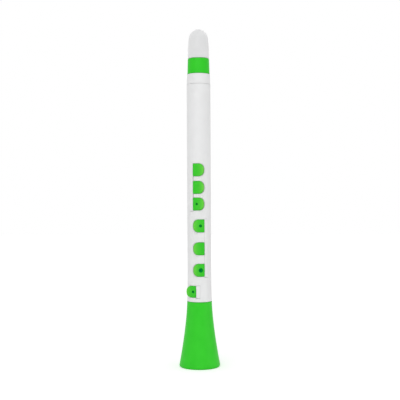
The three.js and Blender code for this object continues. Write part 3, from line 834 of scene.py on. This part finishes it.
class Bank:
    """The frame that a bank of keys shares: across, outwards (its -Y) and up from its middle height."""

    def __init__(self, name, turn, reach, seam, keys):
        joints = {joint["name"]: joint for joint in frame["joints"]}
        hinges = [joints[f"{key}_press"] for key in keys]
        self.name = name
        self.reach = reach
        self.seam = seam
        self.keys = keys
        self.flipped = hinges[0]["axis"][2] < 0
        heights = [hinge["pos_m"][2] / MM for hinge in hinges]
        self.middle = (min(heights) + max(heights)) / 2
        self.surface = body_radius(self.middle)
        self.matrix = (
            Matrix.Translation((0, 0, self.middle))
            @ Matrix.Rotation(math.radians(turn), 4, "Z")
            @ Matrix.Rotation(math.pi if self.flipped else 0, 4, "Y")
        )
        upright = -1 if self.flipped else 1
        self.places = {key: upright * (height - self.middle) for key, height in zip(keys, heights)}
        hinge = self.matrix.inverted() @ (Vector(hinges[0]["pos_m"]) / MM)
        self.hinge_across = hinge.x
        self.hinge_out = -hinge.y
        low, high = foot_and_top(f"{name}_hinge_bar")
        self.bar_half = (high - low) / 2
        low, high = foot_and_top(keys[0])
        self.pad_half = (high - low) / 2
        self.bar_matrix = self.matrix @ Matrix.Rotation(-math.radians(BAR_ANGLE), 4, "Z")

    def radius_at(self, up):
        return body_radius(self.middle + (-up if self.flipped else up))


def pad_outline(back, tip, half):
    """A key's outline, seen square on and drawn anticlockwise: a flat hinge edge and a round nose."""
    nose_foot = tip - PAD_NOSE
    nose = []
    for angle in spread(-math.pi / 2, math.pi / 2, PAD_NOSE_STEPS):
        cosine = max(0.0, math.cos(angle)) ** (2 / PAD_NOSE_POWER)
        sine = math.copysign(abs(math.sin(angle)) ** (2 / PAD_NOSE_POWER), angle)
        nose.append((nose_foot + PAD_NOSE * cosine, half * sine))
    corners = [(back, half, PAD_CORNER), (back, -half, PAD_CORNER), *nose]
    return even(rounded(corners), OUTLINE_POINTS)


def recess(name, outline, floor, radius_at, lip_round):
    """What cuts a recess with a flat floor and a rounded lip into the round body."""

    def lip(offset, rise):
        points = inset(outline, -offset)
        return [(u, -math.sqrt(radius_at(z) ** 2 - u * u) - rise, z) for u, z in points]

    rings = [[(u, -floor, z) for u, z in outline]]
    for angle in LIP_ANGLES:
        turn = math.radians(angle)
        rings.append(lip(lip_round * (1 - math.cos(turn)), lip_round * (math.sin(turn) - 1)))
    flare = LIP_FLARE * lip_round
    rings.append(lip(flare, lip_round))
    top = BODY_RADIUS + FOOT_FLARE + PAST
    rings.append([(u, -top, z) for u, z in inset(outline, -flare)])
    return lofted(name, rings)


def bar_groove(bank):
    """What makes room for a bank's bar, and below it for the edge of the soft strip."""
    back = -BAR_HALF_WIDTH - BAR_SNUG_GAP
    front = BAR_HALF_WIDTH + bank.seam
    foot = bank.bar_half + BAR_FOOT_GAP
    top = bank.bar_half + BAR_SNUG_GAP
    low, high = (-top, foot) if bank.flipped else (-foot, top)
    corners = [(back, low), (front, low), (front, high), (back, high)]
    outline = rounded([(*corner, BAR_ROUND) for corner in corners])
    floor = bank.surface - GROOVE_FLOOR_DEPTH
    made = recess("groove", outline, floor, bank.radius_at, GROOVE_LIP)
    end = BAR_HALF_WIDTH + SPINE_LIP + SPINE_ROOM
    roof = bank.surface - SPINE_TOP_DEPTH + SPINE_ROOM
    undercut = [(0, -roof), (end, -roof), (end, -floor), (0, -floor)]
    joined(made, prism("undercut", undercut, -bank.bar_half, bank.bar_half))
    return placed(made, Matrix.Rotation(-math.radians(BAR_ANGLE), 4, "Z"))


def key_pocket(bank, up):
    """What makes room for a key: a pocket that leaves a raised ring on its floor, and a tone hole."""
    outline = pad_outline(
        bank.hinge_across - PAD_BACK - POCKET_CLEARANCE,
        bank.hinge_across + bank.reach + NOSE_CLEARANCE,
        bank.pad_half + POCKET_CLEARANCE,
    )
    raised = [Vector((u, z + up)) for u, z in outline]
    floor = bank.surface - POCKET_DEPTH
    ring_top = bank.surface - RING_DEPTH
    hole_foot = BORE_RADIUS / 2
    hole_top = ring_top + HOLE_OVERRUN
    made = recess("pocket", raised, floor, bank.radius_at, POCKET_LIP)
    cut(made, radial_peg("ring", RING_RADIUS, floor - PAST, ring_top, TONE_HOLE_OFFSET, up))
    return joined(made, radial_peg("hole", TONE_HOLE_RADIUS, hole_foot, hole_top, TONE_HOLE_OFFSET, up))


def bank_cutter(bank):
    """What one bank takes out of the body."""
    cutter = bar_groove(bank)
    for up in bank.places.values():
        joined(cutter, key_pocket(bank, up))
    return placed(cutter, bank.matrix)


def body_tube(banks):
    """The white tube: socket above, tenon below, with the recesses of every bank."""
    socket_floor = BODY_TOP - (BODY_FOOT - TENON_FOOT) - JOINT_GAP
    flare_top = BODY_FOOT + FOOT_FLARE_HEIGHT
    foot = [(body_radius(z), z) for z in spread(BODY_FOOT + SOFT_EDGE, flare_top, CURVE_STEPS // 2)]
    outline = rounded(
        [
            (BORE_RADIUS, TENON_FOOT, SOFT_EDGE),
            (TENON_RADIUS, TENON_FOOT, TENON_EDGE),
            *seal_groove("bell_seal"),
            (TENON_RADIUS, BODY_FOOT),
            (body_radius(BODY_FOOT), BODY_FOOT, SOFT_EDGE),
            *foot[1:],
            (BODY_RADIUS, BODY_TOP, SOFT_EDGE),
            (SOCKET_RADIUS, BODY_TOP, SOFT_EDGE),
            (SOCKET_RADIUS, socket_floor),
            (BORE_RADIUS, socket_floor),
        ]
    )
    made = turned("body_moulding", outline)
    for bank in banks:
        cut(made, bank_cutter(bank))
    shade(made.data)
    skin_normals(made.data, body_radius, body_slope)
    return finished(made, WHITE, "body", "white_plastic", "body_tube")


def vent_cutter(mouth, throat, setback, foot):
    """What cuts a vent through a flap: a well with a rounded lip, over a narrow throat."""
    top = PAD_HALF_THICKNESS + PAD_CROWN
    floor = VENT_FLOOR - PAD_HALF_THICKNESS
    middle = VENT_LIP * VENT_LIP_MIDDLE
    outline = [
        (0, foot),
        (throat, foot),
        (throat, floor),
        (mouth, floor),
        (mouth, top - VENT_LIP),
        (mouth + middle, top - middle),
        (mouth + VENT_LIP, top),
        (mouth + 2 * VENT_LIP, top + VENT_LIP),
        (0, top + VENT_LIP),
    ]
    vent = turned("vent", outline, HOLE_SEGMENTS)
    return placed(vent, Matrix.Translation((setback - PAD_BACK, 0, 0)) @ FACING_OUT)


def mark_points(mesh, name, value_at):
    """Stores a value on each point of a mesh, worked out from the point's place."""
    marks = mesh.attributes.new(name, "FLOAT", "POINT")
    for mark, vertex in zip(marks.data, mesh.vertices):
        mark.value = value_at(vertex.co)


def mark_nose(mesh, reach):
    """Marks how near each point of a flap is to its nose, from the hinge line, for the painted light
    there.
    """

    def nearness(point):
        return min(1.0, max(0.0, point.x / reach))

    mark_points(mesh, NOSE_LIGHT_MASK, nearness)


def mark_vent(mesh, mouth, setback, foot):
    """Marks the points inside a vent, above a foot, where shade is painted into the colour and the
    reflection is taken out.
    """

    def depth(point):
        off_axis = math.hypot(point.x - setback + PAD_BACK, point.z)
        inside = off_axis < mouth + SKIN_TOLERANCE and -point.y > foot + SKIN_TOLERANCE
        return 1.0 if inside else 0.0

    mark_points(mesh, VENT_SHADE_MASK, depth)


def flap_key(bank, key):
    """A soft D-shaped flap with the disc that closes its tone hole, lifted about its hinge line."""
    outline = pad_outline(-PAD_BACK, bank.reach, bank.pad_half)
    made = rounded_plate(
        f"{key}_flap",
        outline,
        -PAD_HALF_THICKNESS,
        PAD_HALF_THICKNESS,
        PAD_FOOT_ROUND,
        PAD_TOP_ROUND,
        PAD_CROWN,
    )
    placed(made, FACING_OUT)
    disc_foot = -PAD_HALF_THICKNESS - DISC_THICKNESS
    disc_outline = rounded(
        [(0, disc_foot), (DISC_RADIUS, disc_foot, DISC_ROUND), (DISC_RADIUS, 0), (0, 0)]
    )
    disc = turned("disc", disc_outline, DISC_SEGMENTS)
    across = TONE_HOLE_OFFSET - bank.hinge_across
    joined(made, placed(disc, Matrix.Translation((across, 0, 0)) @ FACING_OUT))
    if key in VENTS:
        mouth, throat, setback = VENTS[key]
        cut(made, vent_cutter(mouth, throat, setback, disc_foot - PAST))
    shade(made.data)
    mark_nose(made.data, bank.reach)
    if key in VENTS:
        mark_vent(made.data, mouth, setback, disc_foot)
    lift = Matrix.Rotation(-math.radians(KEY_LIFT), 4, "Z")
    hinge = Matrix.Translation((bank.hinge_across, -bank.hinge_out, bank.places[key]))
    placed(made, bank.matrix @ hinge @ lift)
    return finished(made, SILICONE, key, "green_silicone", key)


def at_bar(bank, name, corners, low, high, edge):
    """A bar along a bank between two heights, from a section of (sideways, outwards, radius) corners."""
    section = [Vector((x, -y)) for x, y in rounded(corners)]
    made = rounded_plate(name, section[::-1], low, high, edge, edge)
    placed(made, bank.bar_matrix)
    shade(made.data)
    return made


def hinge_bar(bank):
    """The white bar over a bank's soft strip: its face follows the body a little proud of it."""
    face_radius = bank.surface + BAR_RISE
    foot = face_radius - BAR_THICKNESS
    half_angle = math.asin(BAR_HALF_WIDTH / face_radius)
    shoulder = face_radius * math.cos(half_angle)
    face = arc(face_radius, half_angle, -half_angle, BAR_FACE_STEPS)
    corners = [
        (-BAR_HALF_WIDTH, foot),
        (BAR_HALF_WIDTH, foot),
        (BAR_HALF_WIDTH, shoulder, BAR_ROUND),
        *face[BAR_SHOULDER_STEPS:-BAR_SHOULDER_STEPS],
        (-BAR_HALF_WIDTH, shoulder, BAR_ROUND),
    ]
    made = at_bar(bank, f"{bank.name}_bar", corners, -bank.bar_half, bank.bar_half, BAR_END_ROUND)
    return finished(made, WHITE, "body", "white_plastic", f"{bank.name}_hinge_bar")


def spine(bank):
    """The soft strip under a hinge bar."""
    top = bank.surface - SPINE_TOP_DEPTH
    foot = top - SPINE_THICKNESS
    right = BAR_HALF_WIDTH + SPINE_LIP
    corners = [
        (-BAR_HALF_WIDTH, foot, SOFT_EDGE),
        (right, foot, SOFT_EDGE),
        (right, top, SOFT_EDGE),
        (-BAR_HALF_WIDTH, top, SOFT_EDGE),
    ]
    made = at_bar(bank, f"{bank.name}_strip", corners, -bank.bar_half, bank.bar_half, SPINE_END_ROUND)
    return finished(made, SILICONE, "body", "green_silicone", f"{bank.name}_spine")


def key_web(bank, key):
    """The thin web that joins a key's hinge edge to the strip, left in its resting shape on no body."""
    to_bar = Matrix.Rotation(math.radians(BAR_ANGLE), 4, "Z")
    hinge = to_bar @ Vector((bank.hinge_across, -bank.hinge_out, 0))
    top = Vector((hinge.x, -hinge.y))
    strip_middle = bank.surface - SPINE_TOP_DEPTH - SPINE_THICKNESS / 2
    foot = Vector((BAR_HALF_WIDTH + SPINE_LIP / 2, strip_middle))
    along = (top - foot).normalized()
    aside = Vector((along.y, -along.x)) * WEB_HALF_THICKNESS
    inside = top - along * WEB_SHORTFALL
    section = [foot - aside, foot + aside, inside + aside, inside - aside]
    corners = [(*point, WEB_ROUND) for point in section]
    half = bank.pad_half - WEB_MARGIN
    up = bank.places[key]
    made = at_bar(bank, f"{key}_web", corners, up - half, up + half, WEB_END_ROUND)
    finished(made, SILICONE, None, "green_silicone")
    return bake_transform(made)


def thumb_rest():
    """The saddle and drooping shelf on the back, melted together by a fine remesh."""
    inner = BODY_RADIUS + REST_CLEARANCE
    outer = inner + REST_THICKNESS
    outer_angle = math.asin(REST_WIDTH / 2 / outer)
    inner_angle = math.asin(REST_WIDTH / 2 / inner)
    back = arc(outer, outer_angle, -outer_angle, REST_STEPS)
    front = arc(inner, -inner_angle, inner_angle, REST_STEPS)
    made = prism("thumb_rest_moulding", [*back, *front], REST_FOOT, REST_TOP)
    shelf_top = REST_TOP - SHELF_DROOP / 2
    upper = curve(
        (inner + REST_THICKNESS / 2, shelf_top),
        (outer + SHELF_REACH / 2, shelf_top),
        (outer + SHELF_REACH, shelf_top - SHELF_DROOP),
    )
    lower = [(y, z - SHELF_THICKNESS) for y, z in reversed(upper)]
    shelf = [*upper, *lower][::-1]
    joined(made, side_prism("shelf", shelf, SHELF_WIDTH))
    remesh = made.modifiers.new("melt", "REMESH")
    remesh.mode = "VOXEL"
    remesh.voxel_size = REST_VOXEL
    soften = made.modifiers.new("soften", "SMOOTH")
    soften.factor = REST_SMOOTHING_SHARE
    soften.iterations = REST_SMOOTHING_ROUNDS
    applied(made)
    shade(made.data, MELTED_SMOOTH_LIMIT)
    return finished(made, WHITE, "body", "white_plastic", "thumb_rest")


def tip_outline(foot):
    """The front view that the beak and the reed share: straight sides that narrow to a rounded tip."""
    round_foot = TIP_HEIGHT - TIP_ROUND_LENGTH
    nose = [
        (TIP_HALF_WIDTH * math.cos(angle), round_foot + TIP_ROUND_LENGTH * math.sin(angle))
        for angle in spread(0, math.pi, TIP_STEPS)
    ]
    right = [(SHANK_FAR, foot), (SHANK_FAR, SHANK_TOP)]
    left = [(-SHANK_FAR, SHANK_TOP), (-SHANK_FAR, foot)]
    return [*right, *nose, *left]


def shank(name, foot):
    """The round form that the mouthpiece and its reed share above the collar."""
    outline = [
        (0, foot),
        (SHANK_RADIUS, foot),
        (SHANK_RADIUS, SHANK_TOP),
        (SHANK_RADIUS - TIP_SLIMMING, TIP_HEIGHT),
        (0, TIP_HEIGHT),
    ]
    return turned(name, outline)


def front_prism(outline):
    """A front view drawn in (x, z), as a prism right through the shank."""
    return placed(prism("front", outline, -SHANK_FAR, SHANK_FAR), FACING_OUT)


def beak():
    """The shank above the collar: sloped to a thin tip in front, and flat behind for the reed."""
    foot = COLLAR_TOP - SOFT_EDGE
    made = common(shank("beak", foot), front_prism(tip_outline(foot)))
    tip_back = TABLE_OFFSET - TIP_OPENING
    tip_front = tip_back - TIP_THICKNESS
    slope = [
        (-SHANK_FAR, SHANK_TOP),
        (-SHANK_RADIUS, SHANK_TOP),
        (tip_front, TIP_HEIGHT),
        (tip_front, TIP_HEIGHT + PAST),
        (-SHANK_FAR, TIP_HEIGHT + PAST),
    ]
    cut(made, side_prism("slope", slope, 2 * SHANK_FAR))
    table = [
        (TABLE_OFFSET, COLLAR_TOP + JOINT_GAP),
        (SHANK_FAR, COLLAR_TOP + JOINT_GAP),
        (SHANK_FAR, TIP_HEIGHT + PAST),
        (tip_back, TIP_HEIGHT + PAST),
        (tip_back, TIP_HEIGHT),
        (TABLE_OFFSET, TIP_HEIGHT - FACING_LENGTH),
    ]
    return cut(made, side_prism("table", table, 2 * SHANK_FAR))


def mouthpiece():
    """Tenon, collar and beak, with a window under the reed and a bore that narrows to it."""
    lower = rounded(
        [
            (0, MOUTHPIECE_FOOT),
            (TENON_RADIUS, MOUTHPIECE_FOOT, TENON_EDGE),
            *seal_groove("mouthpiece_seal_lower"),
            *seal_groove("mouthpiece_seal_upper"),
            (TENON_RADIUS, COLLAR_FOOT - COLLAR_DROP),
            (BODY_RADIUS, COLLAR_FOOT - COLLAR_DROP, SOFT_EDGE),
            (BODY_RADIUS - COLLAR_TAPER, COLLAR_TOP, SOFT_EDGE),
            (0, COLLAR_TOP),
        ]
    )
    made = joined(turned("mouthpiece_moulding", lower), beak())
    window_top = TIP_HEIGHT - WINDOW_END_WALL
    window_foot = window_top - WINDOW_LENGTH
    baffle = TABLE_OFFSET - TIP_OPENING - TIP_THICKNESS / 2
    window = [
        (SOFT_EDGE - THROAT_RADIUS, window_foot),
        (SHANK_FAR, window_foot),
        (SHANK_FAR, window_top),
        (baffle, window_top),
    ]
    cut(made, side_prism("window", window, WINDOW_WIDTH))
    bore_top = COLLAR_TOP - CHAMBER_TAPER_LENGTH / 2
    bore = [
        (0, MOUTHPIECE_FOOT - PAST),
        (BORE_RADIUS, MOUTHPIECE_FOOT - PAST),
        (BORE_RADIUS, bore_top),
        (THROAT_RADIUS, bore_top + CHAMBER_TAPER_LENGTH),
        (THROAT_RADIUS, window_foot + SOFT_EDGE),
        (0, window_foot + SOFT_EDGE),
    ]
    cut(made, turned("bore", bore))
    shade(made.data, BLADE_SMOOTH_LIMIT)
    return finished(made, WHITE, "mouthpiece", "white_plastic", "mouthpiece")


def reed():
    """Flat on the table, round on its back, and thinned from the ligature to its tip."""
    back = REED_SEAT + REED_THICKNESS
    side = [
        (REED_SEAT, REED_FOOT),
        (back, REED_FOOT),
        (back, CAP_FOOT),
        (REED_SEAT + REED_TIP_THICKNESS, TIP_HEIGHT),
        (REED_SEAT, TIP_HEIGHT),
    ]
    made = shank("reed_blade", REED_FOOT)
    common(made, side_prism("side", side, 2 * SHANK_RADIUS))
    common(made, front_prism(tip_outline(REED_FOOT)))
    shade(made.data, BLADE_SMOOTH_LIMIT)
    return finished(made, REED_WHITE, "mouthpiece", "reed_plastic", "reed")


def ligature():
    """The green ring, a little wider at its foot."""
    outline = rounded(
        [
            (RING_BORE_RADIUS, LIGATURE_FOOT, SOFT_EDGE),
            (LIGATURE_FOOT_RADIUS, LIGATURE_FOOT, LIGATURE_FOOT_ROUND),
            (LIGATURE_TOP_RADIUS, LIGATURE_TOP, LIGATURE_TOP_ROUND),
            (RING_BORE_RADIUS, LIGATURE_TOP, SOFT_EDGE),
        ]
    )
    made = turned("ligature_moulding", outline)
    shade(made.data)
    return finished(made, GREEN, "ligature", "green_plastic", "ligature")


def cap():
    """The thin cover: it draws in slightly up to the mouthpiece's tip, with an elliptical dome above."""

    def cover(foot_radius, top):
        side = []
        for share in spread(0, 1, CURVE_STEPS):
            radius = foot_radius - CAP_TAPER * share**CAP_TAPER_POWER
            side.append((radius, CAP_FOOT + (TIP_HEIGHT - CAP_FOOT) * share))
        dome = []
        for angle in spread(0, math.pi / 2, CURVE_STEPS)[1:-1]:
            radius = (foot_radius - CAP_TAPER) * math.cos(angle)
            dome.append((radius, TIP_HEIGHT + (top - TIP_HEIGHT) * math.sin(angle)))
        return [*side, *dome, (0, top)]

    inside = cover(RING_BORE_RADIUS, CAP_TOP - CAP_WALL)
    outside = cover(CAP_FOOT_RADIUS, CAP_TOP)
    foot = [(*inside[0], SOFT_EDGE), (*outside[0], CAP_FOOT_ROUND)]
    made = turned("cap_moulding", rounded([*reversed(inside[1:]), *foot, *outside[1:]]))
    shade(made.data)
    return finished(made, CAP_WHITE, "mouthpiece_cap", "cap_plastic", "mouthpiece_cap")


# The object

banks = [Bank(name, *facts) for name, facts in BANKS.items()]
bell()
body_tube(banks)
for bank in banks:
    hinge_bar(bank)
    spine(bank)
    for key in bank.keys:
        flap_key(bank, key)
        key_web(bank, key)
thumb_rest()
seal("bell_seal", "bell_seal")
seal("mouthpiece_seal_upper", "mouthpiece_seals")
seal("mouthpiece_seal_lower", "mouthpiece_seals")
mouthpiece()
reed()
ligature()
cap()


# Floor, light and camera


def seen_directly(tree, otherwise, seen):
    """One strength for what the camera sees, also in gloss or through glass, and one for other rays."""
    rays = node(tree, "ShaderNodeLightPath").outputs
    bent = worked_out(tree, "MAXIMUM", rays["Is Glossy Ray"], rays["Is Transmission Ray"])
    any_of_them = worked_out(tree, "MAXIMUM", rays["Is Camera Ray"], bent)
    return mapped(tree, any_of_them, otherwise, seen)


def paper_floor():
    """A wide white floor, which glows just enough to be seen as white outside the object's shadow."""
    half = FLOOR_HALF_WIDTH
    corners = [(-half, -half, 0), (half, -half, 0), (half, half, 0), (-half, half, 0)]
    made = new_object("floor", [Vector(corner) * MM for corner in corners], [(0, 1, 2, 3)])
    material = bpy.data.materials.new("floor_paper")
    material.use_nodes = True
    tree = material.node_tree
    shader = tree.nodes["Principled BSDF"]
    shader.inputs["Base Color"].default_value = PAPER_COLOUR
    shader.inputs["Roughness"].default_value = PAPER_ROUGHNESS
    place = node(tree, "ShaderNodeTexCoord")
    distance = node(tree, "ShaderNodeVectorMath", operation="LENGTH")
    tree.links.new(place.outputs["Object"], distance.inputs[0])
    glow_range = (FLOOR_GLOW_NEAR, FLOOR_GLOW_FAR)
    reach_range = (GLOW_NEAR_REACH * MM, GLOW_FAR_REACH * MM)
    full_glow = mapped(tree, distance.outputs["Value"], *glow_range, *reach_range)
    glow = node(tree, "ShaderNodeEmission")
    seen_glow = worked_out(tree, "MULTIPLY", seen_directly(tree, 0, 1), full_glow)
    tree.links.new(seen_glow, glow.inputs["Strength"])
    both = node(tree, "ShaderNodeAddShader")
    tree.links.new(shader.outputs["BSDF"], both.inputs[0])
    tree.links.new(glow.outputs["Emission"], both.inputs[1])
    tree.links.new(both.outputs["Shader"], tree.nodes["Material Output"].inputs["Surface"])
    made.data.materials.append(material)


def white_world():
    """An even white surround that the camera and glossy surfaces see as white."""
    made = bpy.data.worlds.new("surround")
    bpy.context.scene.world = made
    made.use_nodes = True
    tree = made.node_tree
    background = tree.nodes["Background"]
    background.inputs["Color"].default_value = (1, 1, 1, 1)
    tree.links.new(seen_directly(tree, WORLD_LIGHT, 1), background.inputs["Strength"])


def lamp(name, place, aim, size, power):
    """A soft rectangular lamp at a place, turned to a point."""
    data = bpy.data.lights.new(name, "AREA")
    data.shape = "RECTANGLE"
    data.size = size[0] * MM
    data.size_y = size[1] * MM
    data.energy = power
    made = bpy.data.objects.new(name, data)
    made.location = Vector(place) * MM
    made.rotation_euler = (Vector(aim) - Vector(place)).to_track_quat("-Z", "Y").to_euler()
    bpy.context.scene.collection.objects.link(made)


def camera():
    """The photograph's view: level, from the front and a touch to the right."""
    data = bpy.data.cameras.new("camera")
    data.sensor_width = SENSOR_WIDTH
    data.lens = SENSOR_WIDTH * VIEW_DISTANCE / VIEW_WIDTH
    made = bpy.data.objects.new("camera", data)
    turn = Matrix.Rotation(math.radians(VIEW_TURN), 4, "Z")
    place = Matrix.Translation(Vector((VIEW_SIDESTEP, -VIEW_DISTANCE, VIEW_HEIGHT)) * MM)
    level = Matrix.Rotation(math.pi / 2, 4, "X")
    roll = Matrix.Rotation(-math.radians(VIEW_ROLL), 4, "Z")
    made.matrix_world = turn @ place @ level @ roll
    bpy.context.scene.collection.objects.link(made)
    bpy.context.scene.camera = made


paper_floor()
white_world()
for name, facts in LAMPS.items():
    lamp(name, *facts)
camera()
bpy.context.scene.view_settings.view_transform = "Standard"
